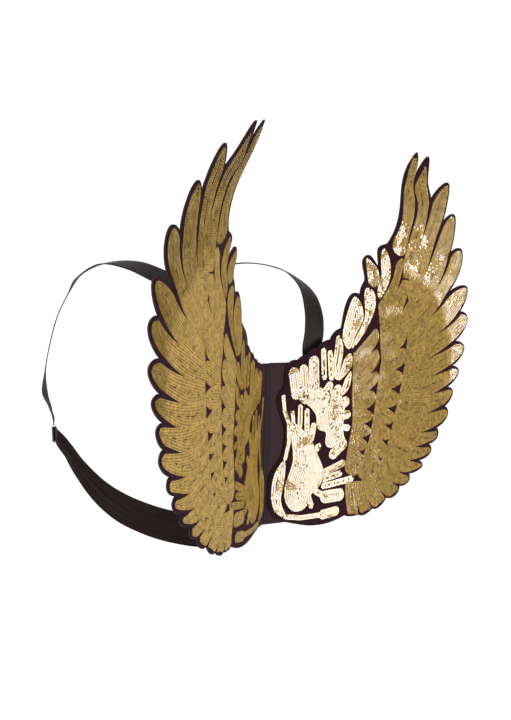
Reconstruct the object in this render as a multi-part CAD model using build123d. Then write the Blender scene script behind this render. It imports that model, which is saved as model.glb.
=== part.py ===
from build123d import *

import math
import os

# Costume wings on a folding back panel, worn with two arm loops. All sizes are in millimetres.
# +X is the wearer's right, +Y points at the wearer, +Z is up.
# The origin is the bottom of the spine fold. The right side is modelled, and the left one mirrors it.

# ---- driving dimensions ----
PANEL_HEIGHT = 240.0  # length of the spine fold
PANEL_WIDTH = 112.0  # one half panel, from the fold outwards
SWEEP = 18.47  # each half slopes back by this many degrees
WING_TOP = 562.0  # tip of the topmost feather
FOLD_GAP = 3.0  # from the fold's axis to each half panel's edge
FOLD_Y = 3.0  # the fold's axis, in front of the origin
TAPE_RADIUS = 1.6

# Layers, counted along +Y from the front felt's show face.
SEQUINS = (-0.8, 0.0)
FRONT_FELT = (0.0, 1.0)
CORE = (1.0, 2.5)
BONING = (1.1, 2.4)
BACK_FELT = (2.5, 3.5)
COVER = (3.7, 4.2)
BOARD = (4.2, 7.2)
LINING = (7.2, 9.2)

# The wing's face: flat next to the panel, then bowed, and curled back above the wrist.
FLAT_WIDTH = 95.0
BOW = 0.00026
TWIST = 0.00008
CURL = 0.001315
CURL_START = 358.6

BORDER = 5.5  # felt shown beside the sequins at a notch
SMALLEST_PATCH = 40.0  # area of sequins, below which a leftover is dropped
SEAM = 0.35  # half of the seam between two touching feathers
SHORT_CUT = 14.0  # a cut's notch border is at most its length over this
NOTCH_BACK = 0.6  # how far the sequins stay back from a notch, as a share of the border
DEEPEST_NOTCH = 0.6  # of the way to the cut's next point
# Each row of feathers: felt border at a notch, how far the tip is drawn back,
# how much deeper its notches go, and how far its root reaches under the next row.
PRIMARY_ROW = (BORDER, BORDER, 0.0, 8.0)
SECONDARY_ROW = (3.4, 1.0, 7.0, 8.0)
TERTIAL_ROW = (3.2, 1.0, 6.0, 4.0)
TIP_SPEED = 0.8  # how far a tip's curve keeps the notch's direction
BONING_WIDTH = 5.0
BONING_PLAY = 0.15

STRAP_THICKNESS = 1.2
STRAP_REST = 0.1  # gap between the lining and a strap's end
STRAP_WIDTH = 38.0
STRAP_END_WIDTH = 22.0
BAND_WIDTH = 45.0
STRAP_ALONG = 88.0  # the shoulder strap's middle line, outwards on the panel
STRAP_SEAT = (205.0, 243.0)  # its straight stretch on the lining, bottom and top
BAND_HEIGHT = 26.0  # the side band's middle line on the panel
BAND_SEAT = (115.0, 60.0)  # its straight stretch on the lining, outer and inner end
PATCH_SIZE = (46.0, 30.0)
PATCH_THICKNESS = 0.8

SLOPE = math.tan(math.radians(SWEEP))

# ---- feather outlines of the right wing, as (x, z) seen from the show side ----
# A cut runs between two feathers, from the notch at their tips to the root. Cuts go from top to bottom.
PRIMARY_CUTS = [
    [(221, 522), (223, 514), (241, 490), (251, 460), (250, 430), (248, 380)],
    [(272, 492), (277, 455), (272, 410), (262, 378)],
    [(313, 457), (303, 400), (290, 365), (267, 338)],
    [(348, 410), (336, 372), (315, 345), (270, 306)],
    [(353, 345), (330, 321), (303, 300), (270, 278)],
    [(388, 317), (355, 292), (320, 275), (270, 255)],
    [(380, 268), (340, 250), (300, 238), (268, 232)],
    [(377, 227), (345, 217), (315, 210), (265, 209)],
    [(367, 192), (345, 186), (325, 182), (260, 186)],
    [(363, 160), (335, 154), (310, 150), (254, 163)],
    [(345, 125), (320, 121), (292, 121), (249, 140)],
    [(328, 99), (305, 97), (285, 99), (243, 119)],
    [(306, 74), (290, 75), (268, 80), (237, 100)],
    [(283, 54), (265, 57), (250, 64), (229, 82)],
    [(262, 36), (248, 42), (235, 50), (219, 66)],
    [(233, 20), (220, 30), (212, 38), (204, 53)],
    [(204, 6), (196, 16), (190, 27), (186, 43)],
    [(176, 0), (172, 12), (168, 26), (165, 43)],
    [(150, 1), (149, 12), (148, 26), (146, 46)],
]
PRIMARY_TIPS = [
    [(222, 546), (226, 557), (243, 534), (258, 511)], [(291, 523), (309, 495)], [(330, 476), (349, 446)],
    [(373, 422), (383, 400)], [(404, 358)], [(407, 312)], [(405, 260)], [(394, 221)], [(381, 187)], [(372, 153)],
    [(351, 116)], [(335, 92)], [(315, 68)], [(286, 47)], [(262, 30)], [(231, 15)], [(201, 2)],
    [(164, -3)],
]
SECONDARY_CUTS = [
    [(226, 398), (226, 375), (215, 350), (203, 334)],
    [(246, 374), (232, 340), (208, 301)],
    [(262, 342), (240, 305), (211, 277)],
    [(262, 265), (240, 255), (217, 244)],
    [(252, 226), (235, 224), (215, 222)],
    [(243, 193), (228, 195), (212, 199)],
    [(236, 161), (222, 166), (208, 173)],
    [(233, 133), (218, 141), (205, 150)],
    [(228, 108), (214, 117), (201, 128)],
    [(220, 79), (207, 91), (195, 104)],
    [(206, 59), (196, 69), (184, 83)],
    [(188, 47), (180, 54), (171, 66)],
]
SECONDARY_TIPS = [
    [(240, 401)], [(258, 366)], [(264, 300)], [(263, 246)], [(259, 212)], [(254, 179)], [(246, 148)], [(241, 121)],
    [(235, 94)], [(226, 70)], [(207, 52)],
]
TERTIAL_CUTS = [
    [(195, 298), (180, 277), (156, 255)],
    [(201, 264), (180, 247), (156, 229)],
    [(201, 229), (183, 216), (157, 206)],
    [(198, 197), (183, 192), (157, 187)],
    [(191, 164), (178, 165), (159, 166)],
    [(187, 141), (174, 142), (160, 145)],
    [(183, 118), (170, 121), (157, 125)],
    [(179, 96), (167, 100), (153, 106)],
    [(172, 76), (162, 81), (150, 87)],
    [(162, 58), (155, 63), (147, 70)],
]
TERTIAL_TIPS = [
    [(198, 288)], [(204, 248)], [(205, 217)], [(200, 184)], [(197, 153)], [(193, 130)], [(188, 107)], [(180, 86)],
    [(170, 66)],
]
# The topmost primary and the scapulars, each as a closed curve.
TOP_PRIMARY = [
    (204, 553), (214, 540), (217, 522), (235, 492), (245, 460), (245, 430), (241, 407), (230, 407), (217, 421),
    (224, 447), (223, 468), (208, 507), (204, 525),
]
SCAPULARS = [
    [(201, 414), (214, 398), (219, 374), (210, 350), (199, 338), (196, 352), (202, 374), (198, 396)],
    [(170, 398), (185, 388), (196, 372), (190, 356), (180, 359), (173, 378)],
    [(177, 352), (188, 345), (191, 325), (180, 298), (160, 270), (149, 259), (157, 277), (171, 303), (172, 325)],
    [(154, 338), (165, 324), (168, 306), (153, 277), (143, 260), (134, 268), (132, 290), (141, 322)],
    [(124, 279), (131, 264), (129, 238), (121, 213), (115, 226), (117, 258)],
    [(148, 250), (150, 238), (140, 222), (126, 212), (131, 230), (139, 247)],
    [(149, 222), (148, 207), (139, 192), (131, 188), (135, 204), (142, 217)],
]
# Fingers of the tuft and the fan: x and z of both ends, then the width.
TUFT_FINGERS = [
    (44, 223, 49, 194, 17), (61, 229, 65, 185, 14), (79, 240, 82, 180, 17), (96, 256, 99, 217, 8),
    (108, 253, 112, 216, 8), (109, 203, 90, 175, 12), (125, 197, 98, 160, 14), (140, 178, 103, 153, 14),
    (145, 158, 108, 148, 11), (146, 137, 114, 142, 8), (128, 128, 96, 168, 20), (136, 112, 118, 140, 14),
    (120, 98, 138, 112, 14), (112, 150, 134, 118, 15),
]
TUFT_BODY = [
    (59, 182), (76, 172), (87, 157), (92, 138), (105, 133), (106, 114), (115, 109), (128, 118), (135, 134),
    (138, 157), (135, 181), (119, 194), (101, 197), (80, 206), (55, 202),
]
FAN_FINGERS = [
    (43, 166, 47, 140, 5), (57, 173, 57, 110, 7), (69, 166, 71, 110, 8), (82, 143, 73, 100, 9),
    (92, 112, 74, 90, 8), (139, 83, 90, 66, 9), (134, 67, 90, 58, 8), (157, 57, 104, 50, 8),
    (108, 33, 134, 34, 18), (108, 33, 80, 48, 8), (82, 22, 76, 36, 8),
]
FAN_BODY = [
    (44, 150), (62, 138), (80, 118), (92, 96), (102, 72), (96, 52), (80, 38), (72, 22), (60, 16), (43, 22),
    (34, 38), (36, 60), (45, 85), (44, 120),
]
CURL_FINGERS = [
    (26, 190, 29, 168, 5), (29, 168, 37, 150, 5), (37, 150, 38, 120, 5), (38, 120, 32, 96, 5),
    (36, 9, 62, 5, 6), (62, 5, 104, 6, 6), (104, 6, 128, 9, 13),
]
CURL_CRESCENT = [(28, 92), (15, 74), (10, 50), (13, 28), (24, 14), (36, 9), (30, 22), (27, 45), (32, 72)]

# The felt's edge where no primary stands: the leading edge going up, and the inner edge going up.
LEADING_LOBES = [
    [(38, 241), (45, 244), (52, 244)],
    [(52, 244), (61, 250), (69, 251)],
    [(69, 251), (78, 259), (87, 261)],
    [(87, 261), (99, 271), (110, 274)],
    [(110, 274), (116, 284), (123, 289), (129, 291)],
    [(129, 291), (133, 312), (141, 336), (150, 345), (158, 345), (163, 342)],
    [(163, 342), (165, 354), (171, 364)],
    [(171, 364), (167, 382), (165, 398), (171, 404), (184, 398), (195, 386)],
    [(195, 386), (192, 404), (192, 417), (199, 421), (207, 423)],
]
WRIST = [(207, 423), (217, 447), (217, 468), (200, 520), (202, WING_TOP)]
TOP_RIGHT = [(202, WING_TOP), (209, 554), (216, 539), (221, 522)]
INNER_EDGE = [
    (60, -5), (40, 0), (17, 11), (7, 30), (5, 52), (11, 78), (26, 96), (33, 118), (32, 145), (24, 165),
    (20, 192), (30, 206), (31, 225), (38, 241),
]
ROOT_LOBE = [(150, 1), (112, -9), (60, -5)]

BONING_LINE = [
    (50, 230), (85, 240), (125, 266), (156, 312), (184, 346), (206, 394), (228, 430), (231, 462), (215, 508),
]

# ---- strap routes of the right side: (x, y, z), direction across the strap, width ----
SHOULDER_TOP = {
    "right": [
        ((88, -17, 262), (0.95, -0.30, 0.0), 38), ((91, -18, 288), (0.96, -0.28, 0.0), 38),
        ((96, -12, 317), (0.97, -0.22, -0.08), 38), ((104, 6, 347), (0.96, -0.12, -0.24), 38),
        ((113, 41, 370), (0.95, -0.06, -0.32), 38), ((122, 88, 383), (0.98, -0.14, -0.15), 38),
        ((130, 140, 387), (0.99, -0.14, 0.04), 38), ((137, 190, 381), (0.96, -0.07, 0.25), 36),
        ((144, 236, 361), (0.90, 0.10, 0.43), 33),
    ],
    "left": [
        ((88, -17, 264), (0.95, -0.30, 0.0), 38), ((94, -15, 290), (0.96, -0.28, 0.0), 38),
        ((106, 2, 318), (0.95, -0.20, -0.24), 38), ((122, 42, 342), (0.91, -0.10, -0.40), 38),
        ((134, 92, 360), (0.91, -0.06, -0.41), 38), ((139, 145, 377), (0.96, -0.04, -0.28), 38),
        ((142, 198, 379), (0.99, -0.10, -0.10), 36), ((147, 242, 360), (0.90, -0.31, -0.31), 33),
    ],
}
SHOULDER_FRONT = {
    "right": [
        ((147, 262, 337), (0.81, 0.39, 0.44), 31), ((151, 282, 300), (0.88, 0.40, 0.25), 27),
        ((155, 293, 258), (0.98, 0.10, 0.10), 24), ((157, 298, 218), (0.85, -0.50, 0.05), 22),
        ((153, 301, 184), (0.70, -0.71, 0.07), 22), ((139, 305, 158), (0.69, -0.73, 0.03), 22),
        ((133, 305, 140), (0.66, -0.70, 0.28), 22), ((137.4, 301, 127), (0.45, -0.47, 0.76), 22),
    ],
    "left": [
        ((147, 262, 337), (0.79, -0.57, -0.24), 31), ((151, 282, 300), (0.74, -0.66, -0.11), 27),
        ((155, 293, 258), (0.71, -0.70, -0.01), 24), ((158, 299, 218), (0.71, -0.71, 0.03), 22),
        ((156, 301, 182), (0.34, -0.94, 0.05), 22), ((141, 305, 158), (0.60, -0.80, 0.03), 22),
        ((133, 305, 140), (0.66, -0.70, 0.28), 22), ((137.4, 301, 127), (0.45, -0.47, 0.76), 22),
    ],
}
SIDE_BAND = [
    ((188, 221, 108), (0.0, -0.40, 0.92), 24), ((191, 193, 84), (0.0, -0.48, 0.88), 29),
    ((189, 155, 55), (0.0, -0.36, 0.93), 37), ((187, 116, 37), (0.0, -0.22, 0.97), 43),
    ((183, 72, 26), (0.0, -0.10, 0.995), 45), ((175, 33, 20), (0.0, -0.04, 0.999), 45),
    ((157, -6, 17), (0.0, 0.0, 1.0), 45), ((131, -27, 20), (0.0, 0.0, 1.0), 45),
]

# ---- buckle: its x runs across the strap, y down the strap, z outwards ----
BUCKLE_CENTRE = (160.0, 278.0, 123.0)
BUCKLE_DOWN = (0.69, -0.72, 0.06)
WEB_STRAIGHT = (-20.0, 20.0)  # straight webbing from above the buckle to its free end
RAIL_SIZE = (2.4, 24.0, 5.4)
RAIL_SPACING = 12.6  # from the strap's middle line
BAR_RADIUS = 1.1
WEB_BARS = [(-10.5, -1.85), (-4.5, 1.85), (1.5, -1.85)]  # (y, z): the webbing runs between them
HEM_BAR = (10.5, -3.2)
HEM_LENGTH = 15.0
HEM_GAP = 1.15
HEM_WALL = 0.6
HEM_WIDTH = 22.4
HEM_BAND_WIDTH = 21.0
BAND_END = (18.0, 31.0)  # the side band's straight end, down from the buckle's centre


def face_y(x, z):
    """Return the show face's y at a place on the right wing."""
    outer = max(0.0, x - FLAT_WIDTH)
    above = max(0.0, z - CURL_START)
    return -SLOPE * x + BOW * outer**2 - TWIST * outer * z - CURL * above**2


def layer(span):
    """Return a sheet that follows the wing's face, between two offsets along Y."""
    near, far = span
    columns = [-4 + 15 * i for i in range(29)]
    rows = [-24 + 20 * k for k in range(31)]
    grid = [[Vector(x, face_y(x, z) + near, z) for z in rows] for x in columns]
    sheet = Face.make_surface_from_array_of_points(grid, tol=0.005)
    return extrude(sheet, amount=far - near, dir=(0, 1, 0))


def flat(x, z):
    """Return a point of the drawing plane, in front of everything."""
    return Vector(x, -200, z)


def outline_face(edges):
    """Return a face of the drawing plane inside joined edges."""
    return Face(Wire(edges))


def cut_to_layer(faces, sheet):
    """Return one solid of the sheet for each drawn face."""
    solids = []
    for face in faces:
        prism = extrude(face, amount=300, dir=(0, 1, 0))
        solids += (sheet & prism).solids()
    return solids


def unit(a, b):
    """Return the direction from a to b, as (x, z)."""
    length = math.dist(a, b)
    return (b[0] - a[0]) / length, (b[1] - a[1]) / length


def shifted_cut(cut, side, border, deeper, reach):
    """Return a cut moved to one side: by the border at its notch, less along the slit, a seam at its end.

    The notch goes deeper and the root reaches further by these lengths.
    """
    last = len(cut) - 1
    border = min(border, math.dist(cut[0], cut[-1]) / SHORT_CUT)
    moved = []
    for i, point in enumerate(cut):
        before, after = cut[max(i - 1, 0)], cut[min(i + 1, last)]
        along = unit(before, after)
        share = max(0.0, 1 - i / max(last - 1, 1))
        gap = SEAM + (border - SEAM) * share
        moved.append((point[0] + side * gap * along[1], point[1] - side * gap * along[0]))
    inward = unit(cut[0], cut[1])
    back = min(border * NOTCH_BACK + deeper, math.dist(cut[0], cut[1]) * DEEPEST_NOTCH)
    moved[0] = (moved[0][0] + back * inward[0], moved[0][1] + back * inward[1])
    onward = unit(cut[-2], cut[-1])
    moved[-1] = (moved[-1][0] + reach * onward[0], moved[-1][1] + reach * onward[1])
    return moved


def drawn_back(points, upper, lower, inset):
    """Return a tip's points moved into the feather: a single one along its axis, several squarely."""
    if len(points) == 1:
        middle = ((upper[1][0] + lower[1][0]) / 2, (upper[1][1] + lower[1][1]) / 2)
        inward = unit(points[0], middle)
        return [(points[0][0] + inset * inward[0], points[0][1] + inset * inward[1])]
    chain = [upper[0]] + points + [lower[0]]
    moved = []
    for i, point in enumerate(points):
        along = unit(chain[i], chain[i + 2])
        moved.append((point[0] + inset * along[1], point[1] - inset * along[0]))
    return moved


def lobe_edge(before, points, after, start, stop):
    """Return the curve round a feather's tip, from one notch to the next."""
    return Spline(
        [flat(*p) for p in [before] + points + [after]],
        tangents=[(start[0], 0, start[1]), (stop[0], 0, stop[1])],
        tangent_scalars=[TIP_SPEED, TIP_SPEED],
    )


def feather_face(upper, tip, lower, row):
    """Return a feather's face between two cuts, drawn by its row's measures."""
    border, inset, deeper, reach = row
    top = shifted_cut(upper, -1, border, deeper, reach)
    bottom = shifted_cut(lower, 1, border, deeper, reach)
    side_up = Spline([flat(*p) for p in reversed(top)])
    side_down = Spline([flat(*p) for p in bottom])
    end = drawn_back(tip, upper, lower, inset)
    lobe = lobe_edge(top[0], end, bottom[0], unit(top[1], top[0]), unit(bottom[0], bottom[1]))
    return outline_face([side_up, lobe, side_down, Line(side_down @ 1, side_up @ 0)])


def row_faces(cuts, tips, row):
    """Return the faces of one row of feathers."""
    return [feather_face(cuts[i], tips[i], cuts[i + 1], row) for i in range(len(tips))]


def curve_face(points):
    """Return the face inside a smooth closed curve."""
    return outline_face([Spline([flat(*p) for p in points], periodic=True)])


def finger_face(x1, z1, x2, z2, width):
    """Return a rounded finger's face between two points."""
    along = unit((x1, z1), (x2, z2))
    side = Vector(along[1], 0, -along[0]) * (width / 2)
    end = Vector(along[0], 0, along[1]) * (width / 2)
    a, b = flat(x1, z1), flat(x2, z2)
    return outline_face([
        Line(a + side, b + side),
        ThreePointArc(b + side, b + end, b - side),
        Line(b - side, a - side),
        ThreePointArc(a - side, a - end, a + side),
    ])


def joined(faces):
    """Return the separate outlines that overlapping faces make together."""
    merged = faces[0].fuse(*faces[1:])
    return merged.faces() if hasattr(merged, "faces") else list(merged)


def cleared(faces, others):
    """Return faces without the places that other faces cover, and without slivers."""
    rests = [face.cut(*others) for face in faces]
    return [rest for cut in rests for rest in cut.faces() if rest.area > SMALLEST_PATCH]


def felt_face():
    """Return the outline of the felt: primaries, root, inner edge and leading edge."""
    edges = [Spline([flat(*p) for p in TOP_RIGHT])]
    for i, tip in enumerate(PRIMARY_TIPS):
        upper, lower = PRIMARY_CUTS[i], PRIMARY_CUTS[i + 1]
        edges.append(lobe_edge(upper[0], tip, lower[0], unit(upper[1], upper[0]), unit(lower[0], lower[1])))
    edges.append(ThreePointArc(*[flat(*p) for p in ROOT_LOBE]))
    for points in [INNER_EDGE] + LEADING_LOBES + [WRIST]:
        edges.append(Spline([flat(*p) for p in points]))
    return outline_face(edges)


def boning_face(width):
    """Return the boning strip's face, a band of one width along its line."""
    points = BONING_LINE
    left, right = [], []
    for i, point in enumerate(points):
        along = unit(points[max(i - 1, 0)], points[min(i + 1, len(points) - 1)])
        left.append(flat(point[0] - along[1] * width / 2, point[1] + along[0] * width / 2))
        right.append(flat(point[0] + along[1] * width / 2, point[1] - along[0] * width / 2))
    up, down = Spline(left), Spline(right[::-1])
    return outline_face([up, Line(up @ 1, down @ 0), down, Line(down @ 1, up @ 0)])


def wing_parts():
    """Return the right wing's parts by name."""
    outline = felt_face()
    core = cut_to_layer([outline], layer(CORE))[0]
    channel = extrude(boning_face(BONING_WIDTH + 2 * BONING_PLAY), amount=300, dir=(0, 1, 0))
    solids = {name: cut_to_layer(faces, layer(SEQUINS)) for name, faces in sequin_faces().items()}
    return {
        "wing_front_felt": cut_to_layer([outline], layer(FRONT_FELT)),
        "wing_core": (core - channel).solids(),
        "wing_boning": cut_to_layer([boning_face(BONING_WIDTH)], layer(BONING)),
        "wing_back_felt": cut_to_layer([outline], layer(BACK_FELT)),
        **solids,
    }


def sequin_faces():
    """Return the drawn faces of each group of sewn sequins. Groups don't cover each other."""
    primaries = [curve_face(TOP_PRIMARY)] + row_faces(PRIMARY_CUTS, PRIMARY_TIPS, PRIMARY_ROW)
    secondaries = row_faces(SECONDARY_CUTS, SECONDARY_TIPS, SECONDARY_ROW)
    tertials = row_faces(TERTIAL_CUTS, TERTIAL_TIPS, TERTIAL_ROW)
    scapulars = [curve_face(points) for points in SCAPULARS]
    tuft = joined([curve_face(TUFT_BODY)] + [finger_face(*finger) for finger in TUFT_FINGERS])
    fan = joined([curve_face(FAN_BODY)] + [finger_face(*finger) for finger in FAN_FINGERS])
    curl = joined([curve_face(CURL_CRESCENT)] + [finger_face(*finger) for finger in CURL_FINGERS])
    return {
        "sequins_primaries": cleared(primaries, secondaries + fan),
        "sequins_secondaries": cleared(secondaries, tertials),
        "sequins_tertials": cleared(tertials, scapulars + tuft),
        "sequins_scapulars": scapulars,
        "sequins_tuft": cleared(tuft, scapulars),
        "sequins_fan": cleared(fan, tuft),
        "sequins_curl": cleared(curl, fan),
    }


def panel_plane():
    """Return the half panel's plane: x outwards along the slope, y up, z away from the wearer."""
    outward = (math.cos(math.radians(SWEEP)), -math.sin(math.radians(SWEEP)), 0)
    normal = (-math.sin(math.radians(SWEEP)), -math.cos(math.radians(SWEEP)), 0)
    return Plane(origin=(0, 0, 0), x_dir=outward, z_dir=normal)


def panel_sheet(span, inset=0.0):
    """Return one flat layer of the half panel."""
    depth = math.cos(math.radians(SWEEP))
    near, far = span[0] * depth, span[1] * depth
    inner = FOLD_GAP + inset
    sheet = Box(
        PANEL_WIDTH - inner - inset,
        PANEL_HEIGHT - 2 * inset,
        far - near,
        align=(Align.MIN, Align.MIN, Align.MAX),
    )
    return panel_plane() * Pos(inner, inset, -near) * sheet


def panel_point(along, z, offset):
    """Return a point of the half panel, at an offset along Y behind the wing's show face."""
    plane = panel_plane()
    depth = offset * math.cos(math.radians(SWEEP))
    return plane.from_local_coords(Vector(along, z, -depth))


def section(centre, across, width, along):
    """Return a strap's rectangular section."""
    x_dir = Vector(*across).normalized()
    normal = Vector(*along).normalized()
    x_dir = (x_dir - normal * x_dir.dot(normal)).normalized()
    return Plane(origin=centre, x_dir=x_dir, z_dir=normal) * Rectangle(width, STRAP_THICKNESS)


def ribbon(stations, first, last):
    """Return a flat strap lofted through (centre, across, width) stations, with its directions at both ends."""
    centres = [Vector(*station[0]) for station in stations]
    middle = [centres[i + 1] - centres[i - 1] for i in range(1, len(centres) - 1)]
    directions = [Vector(*first)] + middle + [Vector(*last)]
    return loft([section(*station, along) for station, along in zip(stations, directions)])


def with_ends(curved, *ends):
    """Return a strap with its straight ends, each given as its stations and direction."""
    for stations, along in ends:
        curved += loft([section(*station, along) for station in stations])
    return curved


def buckle_frame():
    """Return the buckle's place: x across the strap, y down the strap, z outwards."""
    down = Vector(*BUCKLE_DOWN).normalized()
    outward = Vector(1, 0, 0)
    outward = (outward - down * outward.dot(down)).normalized()
    return Plane(origin=BUCKLE_CENTRE, x_dir=down.cross(outward), z_dir=outward)


def buckle_station(y, z, width):
    """Return a strap station in the buckle's frame."""
    frame = buckle_frame()
    return tuple(frame.from_local_coords(Vector(0, y, z))), tuple(frame.x_dir), width


def buckle():
    """Return the slider: two rails, three bars that grip the webbing and one that holds the hem."""
    rail_z = (HEM_BAR[1] - WEB_BARS[0][1]) / 2
    rail = Box(*RAIL_SIZE)
    body = Pos(-RAIL_SPACING, 0, rail_z) * rail + Pos(RAIL_SPACING, 0, rail_z) * rail
    bar = Rot(0, 90, 0) * Cylinder(BAR_RADIUS, 2 * RAIL_SPACING)
    for y, z in WEB_BARS + [HEM_BAR]:
        body += Pos(0, y, z) * bar
    return buckle_frame() * body


def hem_loop():
    """Return the hem folded round the buckle's lowest bar: two layers that hold the band's end."""
    outer = fold_solid(HEM_GAP + HEM_WALL, HEM_WIDTH)
    inner = fold_solid(HEM_GAP, HEM_WIDTH + 2)
    return buckle_frame() * (Pos(0, *HEM_BAR) * (outer - inner))


def fold_solid(radius, width):
    """Return a bar's round wrap and the flat space below it."""
    wrap = Rot(0, 90, 0) * Cylinder(radius, width)
    return wrap + Box(width, HEM_LENGTH, 2 * radius, align=(Align.CENTER, Align.MIN, Align.CENTER))


def back_depth():
    """Return how far behind the show face a strap's middle lies on the lining."""
    return LINING[1] + STRAP_THICKNESS / 2 + STRAP_REST


def shoulder_strap(side):
    """Return one side's shoulder strap, from the panel's back over the shoulder and through the buckle."""
    across, up, down = tuple(panel_plane().x_dir), (0, 0, 1), tuple(buckle_frame().y_dir)
    seat = [(tuple(panel_point(STRAP_ALONG, z, back_depth())), across, STRAP_WIDTH) for z in STRAP_SEAT]
    grip = [buckle_station(y, 0, STRAP_END_WIDTH) for y in WEB_STRAIGHT]
    route = seat[-1:] + SHOULDER_TOP[side] + SHOULDER_FRONT[side] + grip[:1]
    return with_ends(ribbon(route, up, down), (seat, up), (grip, down))


def side_band():
    """Return the wide band from the hem loop, under the arm, to the panel's lower corner."""
    inward, down = tuple(-panel_plane().x_dir), tuple(buckle_frame().y_dir)
    hem = [buckle_station(y, HEM_BAR[1], HEM_BAND_WIDTH) for y in BAND_END]
    seat = [(tuple(panel_point(x, BAND_HEIGHT, back_depth())), (0, 0, 1), BAND_WIDTH) for x in BAND_SEAT]
    route = hem[-1:] + SIDE_BAND + seat[:1]
    return with_ends(ribbon(route, down, inward), (hem, down), (seat, inward))


def anchor_patch(along, z, size):
    """Return a fabric patch that holds a strap end against the lining."""
    near = LINING[1] + STRAP_THICKNESS + 0.5
    depth = math.cos(math.radians(SWEEP))
    patch = Box(size[0], size[1], PATCH_THICKNESS)
    return panel_plane() * Pos(along, z, -near * depth - PATCH_THICKNESS / 2) * patch


def write(name, shape):
    """Write one node."""
    if isinstance(shape, list):
        shape = Compound(children=shape) if len(shape) > 1 else shape[0]
    export_step(shape, f"parts/{name}.step")


def mirrored(shape):
    """Return a shape, or a list of them, on the left side."""
    if isinstance(shape, list):
        return [mirror(piece, about=Plane.YZ) for piece in shape]
    return mirror(shape, about=Plane.YZ)


def main():
    """Write every node."""
    os.makedirs("parts", exist_ok=True)
    right = wing_parts()
    right["panel_cover"] = panel_sheet(COVER)
    right["panel_board"] = panel_sheet(BOARD)
    right["panel_lining"] = panel_sheet(LINING)
    right["side_band"] = side_band()
    right["top_anchor_patch"] = anchor_patch(STRAP_ALONG, 218, PATCH_SIZE)
    right["bottom_anchor_patch"] = anchor_patch(75, BAND_HEIGHT, PATCH_SIZE)
    right["slider"] = buckle()
    right["hem_loop"] = hem_loop()
    left = dict(right)
    right["shoulder_strap"] = shoulder_strap("right")
    left["shoulder_strap"] = shoulder_strap("left")
    for name in right:
        write(f"right_{name}", right[name])
        write(f"left_{name}", mirrored(left[name]))
    write("spine_tape", Pos(0, FOLD_Y, PANEL_HEIGHT / 2) * Cylinder(TAPE_RADIUS, PANEL_HEIGHT))


if __name__ == "__main__":
    main()
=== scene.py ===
import math
import random

import bmesh
import bpy
import numpy as np
from mathutils import Matrix, Vector, noise
from mathutils.bvhtree import BVHTree
from mathutils.geometry import delaunay_2d_cdt
from mathutils.kdtree import KDTree


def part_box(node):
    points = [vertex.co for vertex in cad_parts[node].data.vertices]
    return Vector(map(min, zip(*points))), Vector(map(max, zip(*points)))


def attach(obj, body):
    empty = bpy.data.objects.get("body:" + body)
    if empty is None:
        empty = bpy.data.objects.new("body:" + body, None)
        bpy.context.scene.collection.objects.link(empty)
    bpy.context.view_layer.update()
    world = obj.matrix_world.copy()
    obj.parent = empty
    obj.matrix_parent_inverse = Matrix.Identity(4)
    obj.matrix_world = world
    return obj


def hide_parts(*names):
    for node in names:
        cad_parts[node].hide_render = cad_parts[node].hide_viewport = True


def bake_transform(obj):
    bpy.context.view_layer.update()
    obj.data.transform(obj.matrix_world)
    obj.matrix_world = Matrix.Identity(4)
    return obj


# Costume wings on a folding back panel. Everything is in metres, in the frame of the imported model.
# +X is the wearer's right, +Y points at the wearer, +Z is up.

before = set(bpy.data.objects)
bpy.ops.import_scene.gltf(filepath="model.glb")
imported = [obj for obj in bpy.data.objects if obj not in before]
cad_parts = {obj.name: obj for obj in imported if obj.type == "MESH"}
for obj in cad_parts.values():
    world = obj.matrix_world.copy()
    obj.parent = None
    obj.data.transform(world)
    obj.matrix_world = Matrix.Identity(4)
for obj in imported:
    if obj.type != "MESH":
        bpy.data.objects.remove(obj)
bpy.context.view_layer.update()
MM = 0.001
SIDES = {"right": 1, "left": -1}
SWEEP = math.radians(18.47)  # each half slopes back by this much
SHOW_SIDE = -1.0  # a y in front of the whole model

# ---- camera ----
CAMERA_AT = (-1.4396, -0.9981, 0.3639)
CAMERA_AZIMUTH = math.radians(-54.6)
CAMERA_PITCH = math.radians(3.91)
CAMERA_ROLL = math.radians(1.62)
CAMERA_LENS = 60.0

# ---- light ----
FLOOR_Z = -1.25  # the wings are worn at shoulder height
SOFTBOX_TARGET = (0.10, -0.03, 0.14)  # the middle of the right wing's inner feathers
SOFTBOX_DISTANCE = 4.0
SOFTBOX_SIZE = (0.72, 1.70)
SOFTBOX_POWER = 150.0
WORLD_STRENGTH = 1.08
FLOOR_SIZE = 30
FLOOR_PAINT = (0.97, 0.97, 0.97)

# ---- felt ----
SHEET_THICKNESS = {"front_felt": 1.0 * MM, "core": 1.5 * MM, "back_felt": 1.0 * MM}
FELT_EDGE_EVERY = 2  # of the outline's samples
FELT_ROUND = 0.45 * MM
ROUND_KEPT = 0.9 * FELT_ROUND  # a rim point nearer to the outline than this is in a notch: left out
FELT_STEP = 5.0 * MM
EDGE_CLEARANCE = 0.4 * FELT_STEP  # between the outline and the sheet's inner points
PLAN_TOLERANCE = 1e-4  # in millimetres
FELT_WEAR = 0.25 * MM
FELT_WEAR_SIZE = 9.0 * MM

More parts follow.
